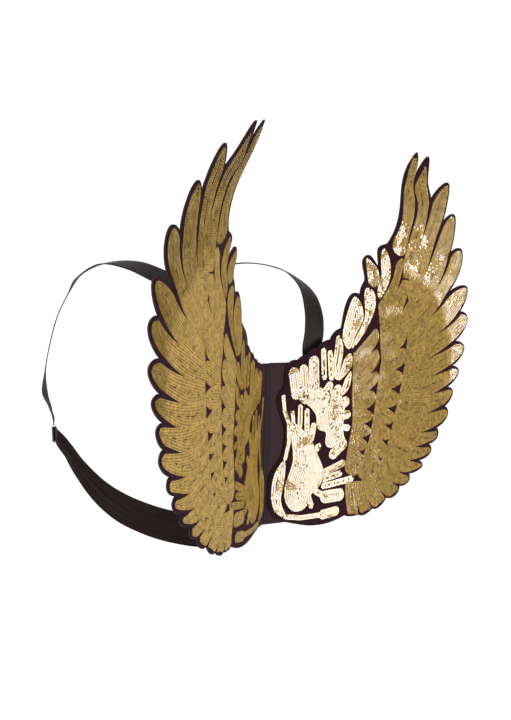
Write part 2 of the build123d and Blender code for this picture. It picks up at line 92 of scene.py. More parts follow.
# ---- panel, by its distance outwards from the fold, up, and back from the wing's show plane ----
PANEL_SIZE = (112.0 * MM, 240.0 * MM)
FOLD_GAP = 3.0 * MM
LAYER = {"cover": 3.7 * MM, "lining": 7.2 * MM, "back": 9.2 * MM}
PANEL_STEP = 4.0 * MM
CORNER_STEPS = 3
ROLL_STEPS = 3
FRONT_RINGS = 10
COVER_CORNER = 2.5 * MM
SHARPEST_CORNER = 0.1 * MM
COVER_ROLL = 0.9 * MM
COVER_RIPPLE = 0.2 * MM
RIPPLE_SIZE = 24.0 * MM
TURN_IN = 8.0 * MM
CLOTH = 0.05 * MM
SLIT = 0.5 * MM  # half of the innermost ring's width
LINING_ROLL = 0.75 * MM
LINING_DROP = 0.3 * MM
LINING_SHOULDER = 7.0 * MM
SEAM_INSET = 3.0 * MM
PATCH_SIZE = (46.0 * MM, 30.0 * MM)
PATCH_THICKNESS = 0.8 * MM
PATCH_STANDS = 1.7 * MM
PATCH_RINGS = 5
PATCH_DIP = 1.5 * MM
PATCH_SLOPE = 2.0 * MM
# Each patch's centre, and the rectangle of the strap under it, measured from that centre:
# low and high outwards, then low and high up.
PATCHES = {
    "top_anchor_patch": ((88 * MM, 218 * MM), (-19 * MM, 19 * MM, -12.5 * MM, 1.0)),
    "bottom_anchor_patch": ((75 * MM, 26 * MM), (-14.5 * MM, 1.0, -22 * MM, 22 * MM)),
}

# ---- straps, in millimetres, for the right side: (x, y, z), direction across the strap, width ----
STRAP_THICKNESS = 1.2 * MM
STRAP_STEP = 2.5 * MM
STRAP_SMOOTHING = 12
STRAP_COLUMNS = 8
EDGE_BEND = (0.3, 0.7)  # the middle point of a rounded edge, as shares of the strap's half thickness
SEAM_END = 35.0 * MM  # no seam is sewn this near the end at the slider
STRAP_WIDTH = 38.0
STRAP_END_WIDTH = 22.0
STRAP_ALONG = 88.0
STRAP_SEAT = (205.0, 243.0)
STRAP_DEPTH = 9.9 * MM
BAND_WIDTH = 45.0 * MM
BAND_HEIGHT = 26.0
BAND_SEAT = (115.0, 60.0)
SHOULDER_TOP = {
    "right": [
        ((88, -17, 262), (0.95, -0.30, 0.0), 38), ((91, -18, 288), (0.96, -0.28, 0.0), 38),
        ((96, -12, 317), (0.97, -0.22, -0.08), 38), ((104, 6, 347), (0.96, -0.12, -0.24), 38),
        ((113, 41, 370), (0.95, -0.06, -0.32), 38), ((122, 88, 383), (0.98, -0.14, -0.15), 38),
        ((130, 140, 387), (0.99, -0.14, 0.04), 38), ((137, 190, 381), (0.96, -0.07, 0.25), 36),
        ((144, 236, 361), (0.90, 0.10, 0.43), 33),
    ],
    "left": [
        ((88, -17, 264), (0.95, -0.30, 0.0), 38), ((94, -15, 290), (0.96, -0.28, 0.0), 38),
        ((106, 2, 318), (0.95, -0.20, -0.24), 38), ((122, 42, 342), (0.91, -0.10, -0.40), 38),
        ((134, 92, 360), (0.91, -0.06, -0.41), 38), ((139, 145, 377), (0.96, -0.04, -0.28), 38),
        ((142, 198, 379), (0.99, -0.10, -0.10), 36), ((147, 242, 360), (0.90, -0.31, -0.31), 33),
    ],
}
SHOULDER_FRONT = {
    "right": [
        ((147, 262, 337), (0.81, 0.39, 0.44), 31), ((151, 282, 300), (0.88, 0.40, 0.25), 27),
        ((155, 293, 258), (0.98, 0.10, 0.10), 24), ((157, 298, 218), (0.85, -0.50, 0.05), 22),
        ((153, 301, 184), (0.70, -0.71, 0.07), 22), ((139, 305, 158), (0.69, -0.73, 0.03), 22),
        ((133, 305, 140), (0.66, -0.70, 0.28), 22), ((137.4, 301, 127), (0.45, -0.47, 0.76), 22),
    ],
    "left": [
        ((147, 262, 337), (0.79, -0.57, -0.24), 31), ((151, 282, 300), (0.74, -0.66, -0.11), 27),
        ((155, 293, 258), (0.71, -0.70, -0.01), 24), ((158, 299, 218), (0.71, -0.71, 0.03), 22),
        ((156, 301, 182), (0.34, -0.94, 0.05), 22), ((141, 305, 158), (0.60, -0.80, 0.03), 22),
        ((133, 305, 140), (0.66, -0.70, 0.28), 22), ((137.4, 301, 127), (0.45, -0.47, 0.76), 22),
    ],
}
SIDE_BAND = [
    ((188, 221, 108), (0.0, -0.40, 0.92), 24), ((191, 193, 84), (0.0, -0.48, 0.88), 29),
    ((189, 155, 55), (0.0, -0.36, 0.93), 37), ((187, 116, 37), (0.0, -0.22, 0.97), 43),
    ((183, 72, 26), (0.0, -0.10, 0.995), 45), ((175, 33, 20), (0.0, -0.04, 0.999), 45),
    ((157, -6, 17), (0.0, 0.0, 1.0), 45), ((131, -27, 20), (0.0, 0.0, 1.0), 45),
]
BUCKLE_CENTRE = (160.0, 278.0, 123.0)
BUCKLE_DOWN = (0.69, -0.72, 0.06)
WEB_STRAIGHT = (-20.0, 20.0)
HEM_BAR = (10.5, -3.2)
HEM_LENGTH = 15.0
HEM_RADIUS = 1.45
HEM_TURN_STEPS = 6
HEM_THICKNESS = 0.6 * MM
HEM_WIDTH = 22.4
HEM_BAND_WIDTH = 21.0
BAND_END = (18.0, 31.0)
GATHERS = 5.0
GATHER_DEPTH = 1.1 * MM
GATHER_LENGTH = 110.0 * MM
GATHER_FADE = 22.0 * MM
GATHER_COLUMNS = 34

# ---- fold, in millimetres: each binding strip's (x, y) at the fold and on the right half ----
FOLD_Y = 3.0
TAPE_WIDTH = 3.0
TAPE_ENDS = 1.0  # from the fold's ends
BINDING_STATIONS = 12
BINDING_THICKNESS = 0.5 * MM
BINDINGS = {"front_binding": ((0.0, 1.1), (5.4, 1.5)), "back_binding": ((0.0, 5.2), (7.0, 7.3))}

# ---- slider ----
SLIDER_BEVEL = 0.3 * MM
BEVEL_SEGMENTS = 2

# ---- thread ----
STITCH_LENGTH = 2.6 * MM
STITCH_PITCH = 3.8 * MM
STITCH_RADIUS = 0.28 * MM
STITCH_SIDES = 6
STITCH_BEND = 0.7  # how far along its half a stitch starts to bend down
STITCH_TIP = 0.4  # the thickness left at its ends, as a share

# ---- sequins ----
SEQUIN_RADIUS = 2.3 * MM
SEQUIN_HOLE = 0.55 * MM
SEQUIN_FLAT = 1.45 * MM
SEQUIN_CUP = 0.10 * MM
SEQUIN_PITCH = 3.0 * MM
SEQUIN_ROW = 3.8 * MM
SEQUIN_FIRST = 1.0 * MM  # from a patch's outline to its first row
SEQUIN_DEPTH = 0.35 * MM  # below the CAD plate's show face
SEQUIN_SIDES = 8
GAP_STEP = 1.2 * MM  # of the search for gaps between rows
DEEPEST_ROW = 30.0 * MM  # no feather is wider than two of these
ROW_SLACK = 0.25  # how much nearer to the outline than its row a sequin may lie, as a share
RING_PAINTED_SHADING = (0.05, 0.62, 0.80)  # painted shade at the hole, painted highlight at the rim
TONE_SPREAD = 0.14
OUTLINE_STEP = 0.5 * MM
SHORTEST_EDGE = 0.001 * MM
SHOW_NORMAL_Y = -0.5  # a CAD face whose normal's y is below this is on the show side
FACING_GROUPS = ("tuft", "fan", "scapulars", "curl")
LEAN = (0.10, -0.06)  # how far the long feathers lean outwards and down
TIPS_CENTRE = (0.19, 0.24)  # of the oval past which the primaries' tips curl forwards
TIPS_OVAL = 1.15
TIPS_REACH = (0.165, 0.02)  # the oval's radius, and over how much more the curl grows to full
TIPS_HEIGHT = (0.17, 0.04)  # the lowest curled tips, and over how much height the curl grows to full
ROW_TILT = math.radians(0.5)  # each sequin lies on the next one of its string
JITTER = math.radians(0.7)
SWELL = math.radians(4.0)  # slow changes of direction over the stuffed felt
SWELL_SIZE = 22.0 * MM
SWELL_APART = (7, 3, 11)  # from the first angle's place in the noise to the second's
# the dark end is painted shade and the light end is lit gold with a painted highlight; each point's
# tone mixes them
GOLD_SHADOW = (0.054, 0.029, 0.005)
GOLD_LIGHT = (0.40, 0.252, 0.044)
SEQUIN_GROUPS = ("primaries", "secondaries", "tertials", "scapulars", "tuft", "fan", "curl")

# ---- the Mix node's colour sockets ----
MIX_FACTOR, MIX_FIRST, MIX_SECOND, MIX_RESULT = 0, 6, 7, 2


# ------------------------------------------------------------------ materials
def new_material(name, colour, roughness, metallic=0.0):
    """Return a material and its shader node."""
    material = bpy.data.materials.new(name)
    material.use_nodes = True
    shader = material.node_tree.nodes["Principled BSDF"]
    shader.inputs["Base Color"].default_value = (*colour, 1)
    shader.inputs["Roughness"].default_value = roughness
    shader.inputs["Metallic"].default_value = metallic
    return material, shader


def add_node(material, kind, **values):
    """Add a node and set its inputs by name."""
    node = material.node_tree.nodes.new(kind)
    for name, value in values.items():
        node.inputs[name].default_value = value
    return node


def link(material, output, target):
    """Join an output to an input."""
    material.node_tree.links.new(output, target)


def place_coordinates(material, kind="Object", stretch=(1, 1, 1)):
    """Return stretched texture coordinates."""
    source = add_node(material, "ShaderNodeTexCoord")
    mapping = add_node(material, "ShaderNodeMapping", Scale=stretch)
    link(material, source.outputs[kind], mapping.inputs["Vector"])
    return mapping.outputs["Vector"]


def noise_texture(material, scale, detail=3.0, kind="Object", stretch=(1, 1, 1)):
    """Return a noise's strength."""
    texture = add_node(material, "ShaderNodeTexNoise", Scale=scale, Detail=detail)
    link(material, place_coordinates(material, kind, stretch), texture.inputs["Vector"])
    return texture.outputs["Fac"]


def wave_texture(material, scale, direction, kind="Object", distortion=0.0):
    """Return bands across one direction."""
    texture = add_node(material, "ShaderNodeTexWave", Scale=scale, Distortion=distortion)
    texture.bands_direction = direction
    link(material, place_coordinates(material, kind), texture.inputs["Vector"])
    return texture.outputs["Fac"]


def mix_colours(material, factor, first, second):
    """Return a colour between two, by a factor."""
    mix = material.node_tree.nodes.new("ShaderNodeMix")
    mix.data_type = "RGBA"
    mix.inputs[MIX_FIRST].default_value = (*first, 1)
    mix.inputs[MIX_SECOND].default_value = (*second, 1)
    link(material, factor, mix.inputs[MIX_FACTOR])
    return mix.outputs[MIX_RESULT]


def add_bump(material, shader, height, strength, distance, below=None):
    """Add a bump from a height, on top of another bump's normal."""
    bump = add_node(material, "ShaderNodeBump", Strength=strength, Distance=distance)
    link(material, height, bump.inputs["Height"])
    if below:
        link(material, below, bump.inputs["Normal"])
    link(material, bump.outputs["Normal"], shader.inputs["Normal"])
    return bump.outputs["Normal"]


def spread(material, value, low, high, start=0.0, stop=1.0):
    """Return a value moved from start..stop to low..high."""
    node = add_node(material, "ShaderNodeMapRange")
    node.inputs["From Min"].default_value = start
    node.inputs["From Max"].default_value = stop
    node.inputs["To Min"].default_value = low
    node.inputs["To Max"].default_value = high
    link(material, value, node.inputs["Value"])
    return node.outputs["Result"]


def sequin_material():
    """Gold film under a clear sharp gloss, with painted shade at each sequin's hole and a painted
    highlight at its rim.
    """
    material, shader = new_material("sequin_gold", GOLD_LIGHT, 0.75, 1.0)
    # the tone attribute mixes painted shade at each hole and a painted highlight at each rim, shifted
    # by a random tone per sequin
    tone = add_node(material, "ShaderNodeAttribute")
    tone.attribute_name = "tone"
    colour = mix_colours(material, tone.outputs["Fac"], GOLD_SHADOW, GOLD_LIGHT)
    link(material, colour, shader.inputs["Base Color"])
    film = noise_texture(material, 900)
    link(material, spread(material, film, 0.68, 0.82, 0.3, 0.7), shader.inputs["Roughness"])
    shader.inputs["Coat Weight"].default_value = 0.2
    shader.inputs["Coat IOR"].default_value = 2.5
    shader.inputs["Coat Roughness"].default_value = 0.05
    return material


def felt_material(name, dark, light):
    """Brushed felt: short fibres with a soft light rim."""
    material, shader = new_material(name, dark, 0.95)
    cloudy = noise_texture(material, 130)
    link(material, mix_colours(material, cloudy, dark, light), shader.inputs["Base Color"])
    shader.inputs["Sheen Weight"].default_value = 0.03
    shader.inputs["Sheen Roughness"].default_value = 0.45
    shader.inputs["Sheen Tint"].default_value = (0.65, 0.45, 0.52, 1)
    shader.inputs["Specular IOR Level"].default_value = 0.03
    coarse = add_bump(material, shader, noise_texture(material, 420, 4), 0.5, 0.25 * MM)
    add_bump(material, shader, noise_texture(material, 2600, 2), 0.6, 0.12 * MM, coarse)
    return material


def satin_material():
    """Plum satin, with its fine float threads along Z."""
    dark, light = (0.013, 0.0045, 0.006), (0.024, 0.0085, 0.011)
    material, shader = new_material("satin", dark, 0.42)
    cloudy = noise_texture(material, 40, 2, stretch=(1, 1, 0.3))
    link(material, mix_colours(material, cloudy, dark, light), shader.inputs["Base Color"])
    shader.inputs["Sheen Weight"].default_value = 0.04
    shader.inputs["Sheen Tint"].default_value = (0.8, 0.45, 0.5, 1)
    shader.inputs["Specular IOR Level"].default_value = 0.02
    floats = wave_texture(material, 700, "X", distortion=1.5)
    threads = add_bump(material, shader, floats, 0.25, 0.05 * MM)
    creases = noise_texture(material, 60, 3, stretch=(1, 1, 0.25))
    add_bump(material, shader, creases, 0.35, 0.5 * MM, threads)
    return material


def webbing_material(name, dark, light, ribs, roughness):
    """Woven strap: ribs across it and threads along it, by its own coordinates in millimetres."""
    material, shader = new_material(name, dark, roughness)
    cloudy = noise_texture(material, 0.06, 3, "UV", (1, 0.25, 1))
    link(material, mix_colours(material, cloudy, dark, light), shader.inputs["Base Color"])
    shader.inputs["Sheen Weight"].default_value = 0.02
    shader.inputs["Sheen Tint"].default_value = (0.8, 0.6, 0.5, 1)
    shader.inputs["Specular IOR Level"].default_value = 0.06
    across = add_bump(material, shader, wave_texture(material, ribs, "Y", "UV"), 0.5, 0.12 * MM)
    add_bump(material, shader, wave_texture(material, 0.55, "X", "UV", 1.0), 0.4, 0.08 * MM, across)
    return material


def metal_material(name, colour, rough_low, rough_high):
    """Plated or rolled metal with faint rub marks."""
    material, shader = new_material(name, colour, rough_low, 1.0)
    rubbed = noise_texture(material, 300, 4, stretch=(1, 1, 6))
    roughness = spread(material, rubbed, rough_low, rough_high, 0.35, 0.7)
    link(material, roughness, shader.inputs["Roughness"])
    add_bump(material, shader, noise_texture(material, 1500), 0.05, 0.05 * MM)
    return material


def foam_material(name, dark, light):
    """Cut sheet foam or board: small open cells."""
    material, shader = new_material(name, dark, 0.8)
    cells = noise_texture(material, 1600, 2)
    link(material, mix_colours(material, cells, dark, light), shader.inputs["Base Color"])
    add_bump(material, shader, cells, 0.5, 0.1 * MM)
    return material


def thread_material():
    """Twisted sewing thread."""
    material, shader = new_material("thread", (0.035, 0.02, 0.024), 0.6)
    twist = wave_texture(material, 900, "Z", distortion=2)
    colour = mix_colours(material, twist, (0.02, 0.011, 0.014), (0.06, 0.035, 0.042))
    link(material, colour, shader.inputs["Base Color"])
    shader.inputs["Sheen Weight"].default_value = 0.4
    add_bump(material, shader, twist, 0.4, 0.05 * MM)
    return material


MATERIALS = {
    "sequin": sequin_material(),
    "felt": felt_material("felt", (0.011, 0.0035, 0.006), (0.020, 0.007, 0.011)),
    "felt_back": felt_material("felt_back", (0.022, 0.010, 0.013), (0.040, 0.020, 0.025)),
    "satin": satin_material(),
    "webbing": webbing_material("webbing", (0.005, 0.004, 0.004), (0.012, 0.009, 0.008), 0.28, 0.5),
    "band": webbing_material("band", (0.006, 0.004, 0.004), (0.022, 0.011, 0.010), 0.5, 0.42),
    "binding": webbing_material("binding", (0.004, 0.004, 0.004), (0.010, 0.009, 0.009), 0.4, 0.6),
    "lining": felt_material("lining", (0.018, 0.010, 0.012), (0.030, 0.018, 0.021)),
    "foam": foam_material("foam", (0.020, 0.012, 0.014), (0.045, 0.030, 0.034)),
    "board": foam_material("board", (0.03, 0.03, 0.03), (0.06, 0.06, 0.06)),
    "steel": metal_material("steel", (0.55, 0.55, 0.56), 0.25, 0.4),
    "chrome": metal_material("chrome", (0.80, 0.80, 0.81), 0.07, 0.18),
    "thread": thread_material(),
}
HARD_PIECES = {"wing_boning": "steel", "panel_board": "board", "slider": "chrome"}


# ------------------------------------------------------------------ small helpers
def add_piece(name, verts, faces, material, body, smooth=True):
    """Add a mesh object that rides on a body."""
    mesh = bpy.data.meshes.new(name)
    mesh.from_pydata([tuple(v) for v in verts], [], faces)
    mesh.validate()
    mesh.materials.append(MATERIALS[material])
    mesh.shade_smooth() if smooth else mesh.shade_flat()
    piece = bpy.data.objects.new(name, mesh)
    bpy.context.scene.collection.objects.link(piece)
    if body:
        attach(piece, body)
    return piece


def outward(side):
    """Return the half panel's direction away from the fold."""
    return Vector((side * math.cos(SWEEP), -math.sin(SWEEP), 0))


def backward(side):
    """Return the half panel's direction towards the wearer."""
    return Vector((side * math.sin(SWEEP), math.cos(SWEEP), 0))


def panel_point(side, along, z, depth):
    """Return a point by its place on a half panel and its depth behind the wing's show plane."""
    return outward(side) * along + backward(side) * depth + Vector((0, 0, z))


def seen_point(surface, x, z):
    """Return where a surface is seen from the show side, and its normal there, or None twice."""
    hit, normal, _, _ = surface.ray_cast(Vector((x, SHOW_SIDE, z)), Vector((0, 1, 0)))
    return hit, normal


def ramp(value, start, length):
    """Return 0 up to the start, 1 past the length after it, and a straight rise between them."""
    return min(1.0, max(0.0, (value - start) / length))


def ring_faces(rings, count):
    """Return the faces between rings of as many points each."""
    faces = []
    for ring in range(rings - 1):
        for k in range(count):
            a, b = ring * count + k, ring * count + (k + 1) % count
            faces.append((a, a + count, b + count, b))
    return faces


# ------------------------------------------------------------------ sequins
def show_islands(node):
    """Return the show faces of each patch of a CAD node, with the points they share."""
    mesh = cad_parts[node].data
    index, points, remap = {}, [], []
    for vertex in mesh.vertices:
        key = tuple(round(c * 1e6) for c in vertex.co)
        if key not in index:
            index[key] = len(points)
            points.append(vertex.co.copy())
        remap.append(index[key])
    shown = [p for p in mesh.polygons if p.normal.y < SHOW_NORMAL_Y]
    faces = [[remap[i] for i in p.vertices] for p in shown]
    group = list(range(len(points)))

    def root(i):
        while group[i] != i:
            group[i] = group[group[i]]
            i = group[i]
        return i

    for face in faces:
        for i in face[1:]:
            group[root(i)] = root(face[0])
    islands = {}
    for face in faces:
        islands.setdefault(root(face[0]), []).append(face)
    return points, list(islands.values())


def outline_loops(faces):
    """Return the closed outlines of joined faces, each with the faces on its left."""
    edges = {(face[i - 1], face[i]) for face in faces for i in range(len(face))}
    onward = {}
    for a, b in sorted(edges):
        if (b, a) not in edges:
            onward.setdefault(a, []).append(b)
    loops = []
    while onward:
        here = next(iter(onward))
        loop = []
        while here in onward:
            loop.append(here)
            after = onward[here].pop()
            if not onward[here]:
                del onward[here]
            here = after
        loops.append(loop)
    return loops


def edge_samples(points, loops):
    """Return evenly spaced samples of the outlines, as (x, z) and the direction along the outline."""
    samples = []
    for loop in loops:
        ring = [(points[i].x, points[i].z) for i in loop]
        for a, b in zip(ring, ring[1:] + ring[:1]):
            length = math.dist(a, b)
            if length < SHORTEST_EDGE:
                continue
            dx, dz = (b[0] - a[0]) / length, (b[1] - a[1]) / length
            count = max(1, round(length / OUTLINE_STEP))
            for k in range(count):
                x, z = a[0] + dx * length * k / count, a[1] + dz * length * k / count
                samples.append((x, z, dx, dz))
    return samples


def sample_tree(samples):
    """Return a search tree of an outline's samples."""
    tree = KDTree(len(samples))
    for i, (x, z, _, _) in enumerate(samples):
        tree.insert((x, z, 0), i)
    tree.balance()
    return tree


class SequinPlan:
    """Sequin places (x, z, direction), kept in square cells too for a quick search."""

    def __init__(self):
        self.places = []
        self.cells = {}

    def cell(self, x, z):
        """Return a place's cell."""
        return int(x // SEQUIN_PITCH), int(z // SEQUIN_PITCH)

    def is_free(self, x, z):
        """Return whether every sequin is at least a pitch away."""
        column, row = self.cell(x, z)
        around = [(column + i, row + k) for i in (-1, 0, 1) for k in (-1, 0, 1)]
        near = [place for cell in around for place in self.cells.get(cell, ())]
        return all(math.dist((x, z), place) >= SEQUIN_PITCH for place in near)

    def add(self, x, z, dx, dz):
        """Place a sequin."""
        self.cells.setdefault(self.cell(x, z), []).append((x, z))
        self.places.append((x, z, dx, dz))


def add_rows(plan, samples, tree):
    """Lay sequins on rows that follow the outline inwards until no row is left."""
    inset, found = SEQUIN_FIRST, True
    while found and inset < DEEPEST_ROW:
        found = False
        nearest = inset - min(ROW_SLACK * inset, SEQUIN_ROW / 3)
        for x, z, dx, dz in samples:
            place = (x - dz * inset, z + dx * inset)
            if tree.find((*place, 0))[2] < nearest:
                continue
            found = True
            if plan.is_free(*place):
                plan.add(*place, dx, dz)
        inset += SEQUIN_ROW


def fill_gaps(plan, samples, tree, surface):
    """Lay sequins in the gaps between rows, each along the nearest outline."""
    low_x, low_z, _, _ = np.min(samples, axis=0)
    high_x, high_z, _, _ = np.max(samples, axis=0)
    for x in np.arange(low_x, high_x, GAP_STEP):
        for z in np.arange(low_z, high_z, GAP_STEP):
            if not plan.is_free(x, z) or seen_point(surface, x, z)[0] is None:
                continue
            _, nearest, distance = tree.find((x, z, 0))
            if distance > SEQUIN_FIRST:
                plan.add(x, z, *samples[nearest][2:])


def sequin_places(samples, surface):
    """Return a patch's sequin places, as (x, z) and the direction along the row."""
    plan, tree = SequinPlan(), sample_tree(samples)
    add_rows(plan, samples, tree)
    fill_gaps(plan, samples, tree, surface)
    return plan.places


def swell_at(x, z, seed):
    """Return two slow angles, by which the sequins of a place turn together."""
    place = Vector((x / SWELL_SIZE, z / SWELL_SIZE, seed))
    return SWELL * noise.noise(place), SWELL * noise.noise(place + Vector(SWELL_APART))


def turned(face):
    """Return a four-sided face with its other side out, from the same first point."""
    return face[0], face[3], face[2], face[1]


def sequin_template():
    """Return a cupped ring: its points as (along, across, up) and its faces."""
    rings = [(SEQUIN_HOLE, 0.0), (SEQUIN_FLAT, 0.0), (SEQUIN_RADIUS, SEQUIN_CUP)]
    points = []
    for radius, height in rings:
        for k in range(SEQUIN_SIDES):
            angle = 2 * math.pi * (k + 0.5) / SEQUIN_SIDES
            points.append((radius * math.cos(angle), radius * math.sin(angle), height))
    faces = [turned(face) for face in ring_faces(len(rings), SEQUIN_SIDES)]
    return np.array(points), np.array(faces)


def facing_share(group, x, z):
    """Return how far a place faces ahead: fully by the fold and on the primaries' curled tips."""
    if group in FACING_GROUPS:
        return 1.0
    if group != "primaries":
        return 0.0
    reach = math.hypot(abs(x) - TIPS_CENTRE[0], TIPS_OVAL * (z - TIPS_CENTRE[1]))
    return ramp(z, *TIPS_HEIGHT) * ramp(reach, *TIPS_REACH)


def sequin_frame(group, side, x, z, dx, dz, surface, chance):
    """Return a sequin's centre and its directions along, across and up."""
    hit, normal = seen_point(surface, x, z)
    if hit is None:
        return None
    share = facing_share(group, x, z)
    leaning = normal + Vector((side * LEAN[0], 0, LEAN[1]))
    normal = (leaning * (1 - share) - backward(side) * share).normalized()
    along = Vector((dx, 0, dz))
    along = (along - normal * along.dot(normal)).normalized()
    across = normal.cross(along)
    first, second = swell_at(x, z, side)
    tilt = ROW_TILT + chance.gauss(0, JITTER)
    normal = normal + along * math.tan(tilt) + across * math.tan(chance.gauss(0, JITTER))
    normal = (normal + Vector((first, 0, second))).normalized()
    along = (along - normal * along.dot(normal)).normalized()
    return hit - normal * SEQUIN_DEPTH, along, normal.cross(along), normal


def sequin_piece(group, word):
    """Cover one CAD group with sewn sequins."""
    side = SIDES[word]
    node = f"{word}_sequins_{group}"
    chance = random.Random(node)
    points, islands = show_islands(node)
    template, template_faces = sequin_template()
    verts, faces, tones_and_ring_shading = [], [], []
    for island in islands:
        surface = BVHTree.FromPolygons(points, island)
        samples = edge_samples(points, outline_loops(island))
        for x, z, dx, dz in sequin_places(samples, surface):
            found = sequin_frame(group, side, x, z, dx, dz, surface, chance)
            if found is None:
                continue
            centre, along, across, up = found
            axes = np.array([along, across, up])
            faces.append(template_faces + len(verts) * len(template))
            verts.append(template @ axes + np.array(centre))
            # each sequin's random tone shifts the painted shade at its hole and the painted highlight
            # at its rim
            tone = chance.gauss(0, TONE_SPREAD)
            for ring_painted_shading in RING_PAINTED_SHADING:
                tones_and_ring_shading += [min(1, max(0, ring_painted_shading + tone))] * SEQUIN_SIDES
    name, faces = f"{word}_{group}_sequins", np.vstack(faces).tolist()
    piece = add_piece(name, np.vstack(verts), faces, "sequin", f"{word}_half", False)
    # the tone attribute holds each point's random tone together with the painted ring shading
    tone = piece.data.attributes.new("tone", "FLOAT", "POINT")
    tone.data.foreach_set("value", tones_and_ring_shading)
    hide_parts(node)


# ------------------------------------------------------------------ felt
def show_y(surface, side, x, z):
    """Return a surface's y at a place, from its nearest face's plane where the place is outside."""
    hit, normal = seen_point(surface, x, z)
    if hit is None:
        hit, normal, _, _ = surface.find_nearest(Vector((x, -math.tan(SWEEP) * side * x, z)))
    return hit.y - (normal.x * (x - hit.x) + normal.z * (z - hit.z)) / normal.y


def felt_plan():
    """Return the right wing's outline filled evenly: (x, z) points, which are edge, and triangles."""
    points, islands = show_islands("right_wing_front_felt")
    faces = islands[0]
    surface = BVHTree.FromPolygons(points, faces)
    samples = edge_samples(points, outline_loops(faces))[::FELT_EDGE_EVERY]
    tree = sample_tree(samples)
    edge = [(x, z) for x, z, _, _ in samples]
    rim = [(x - dz * FELT_ROUND, z + dx * FELT_ROUND) for x, z, dx, dz in samples]
    inner = [p for p in rim if tree.find((*p, 0))[2] > ROUND_KEPT]
    low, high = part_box("right_wing_front_felt")
    for i in range(int((high[0] - low[0]) / FELT_STEP) + 1):
        for k in range(int((high[2] - low[2]) / FELT_STEP) + 1):
            x, z = low[0] + (i + k % 2 / 2) * FELT_STEP, low[2] + k * FELT_STEP
            if tree.find((x, z, 0))[2] > EDGE_CLEARANCE and seen_point(surface, x, z)[0]:
                inner.append((x, z))
    drawn = [Vector((x / MM, z / MM)) for x, z in edge + inner]
    loop = [(i, (i + 1) % len(edge)) for i in range(len(edge))]
    places, _, triangles, sources, _, _ = delaunay_2d_cdt(drawn, loop, [], 1, PLAN_TOLERANCE)
    is_edge = [not source or min(source) < len(edge) for source in sources]
    return [(p.x * MM, p.y * MM) for p in places], is_edge, triangles


def felt_piece(word, layer, material, plan):
    """Lay a die-cut sheet with soft edges in the place of a CAD sheet."""
    side, node = SIDES[word], f"{word}_wing_{layer}"
    points, islands = show_islands(node)
    surface = BVHTree.FromPolygons(points, islands[0])
    places, is_edge, triangles = plan
    thickness = SHEET_THICKNESS[layer]
    count = len(places)
    front, back = [], []
    for (x, z), on_edge in zip(places, is_edge):
        y = show_y(surface, side, side * x, z)
        wear = noise.noise(Vector((x, 0, z)) / FELT_WEAR_SIZE) * FELT_WEAR
        middle = y + (thickness / 2 + wear)
        front.append((side * x, middle if on_edge else y + wear / 2, z))
        back.append((side * x, middle if on_edge else y + (thickness + wear / 2), z))
    twin = [i if is_edge[i] else count + i for i in range(count)]
    faces = [tuple(t) for t in triangles] + [tuple(twin[i] for i in reversed(t)) for t in triangles]
    if side < 0:
        faces = [face[::-1] for face in faces]
    piece = add_piece(f"{word}_{layer}_sheet", front + back, faces, material, f"{word}_half")
    tidy = bmesh.new()
    tidy.from_mesh(piece.data)
    bmesh.ops.delete(tidy, geom=[v for v in tidy.verts if not v.link_faces], context="VERTS")
    tidy.to_mesh(piece.data)
    tidy.free()
    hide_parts(node)


# ------------------------------------------------------------------ panel
def ring_points(size, radius, inset):
    """Return a rounded rectangle's outline, drawn in by the inset, always with as many points."""
    half = [s / 2 - inset for s in size]
    bend = max(radius - inset, SHARPEST_CORNER)
    corners = []
    for i, (a, b) in enumerate([(1, 1), (-1, 1), (-1, -1), (1, -1)]):
        turn = [math.pi / 2 * (i + k / CORNER_STEPS) for k in range(CORNER_STEPS + 1)]
        middle = (a * (half[0] - bend), b * (half[1] - bend))
        corner = [(middle[0] + bend * math.cos(t), middle[1] + bend * math.sin(t)) for t in turn]
        corners.append(corner)
    ring = []
    for i, corner in enumerate(corners):
        start, stop = corner[-1], corners[(i + 1) % 4][0]
        count = max(1, round(size[i % 2] / PANEL_STEP))
        ring += corner
        for k in range(1, count):
            ring.append(tuple(a + (b - a) * k / count for a, b in zip(start, stop)))
    return ring


def ringed_piece(
    name, word, centre, size, profile, material, closed=False, ripple=0.0, over=None
):
    """Join rounded rectangles, each by its inset and depth, from the show side round to the back."""
    side = SIDES[word]
    rings = [ring_points(size, COVER_CORNER, inset) for inset, _ in profile]
    count = len(rings[0])
    verts = []
    for ring, (inset, depth) in zip(rings, profile):
        for u, v in ring:
            place = Vector((u, v, side)) / RIPPLE_SIZE
            lift = ripple * noise.noise(place) * min(1, inset / RIPPLE_SIZE)
            lift -= dip(u, v, over) if over else 0.0
            verts.append(panel_point(side, centre[0] + u, centre[1] + v, depth + lift))
    faces = [tuple(range(count))] + ring_faces(len(rings), count)
    if closed:
        faces.append(tuple(reversed(range(len(verts) - count, len(verts)))))
    if side < 0:
        faces = [face[::-1] for face in faces]
    return add_piece(name, verts, faces, material, f"{word}_half")


def rolled_edge(near, far, radius):
    """Return the profile of an edge that rolls from one depth to another."""
    turn = [math.pi / 2 * k / ROLL_STEPS for k in range(ROLL_STEPS + 1)]
    front = [(radius * (1 - math.sin(t)), near + radius * (1 - math.cos(t))) for t in turn]
    back = [(radius * (1 - math.cos(t)), far - radius * (1 - math.sin(t))) for t in turn]
    return front + back


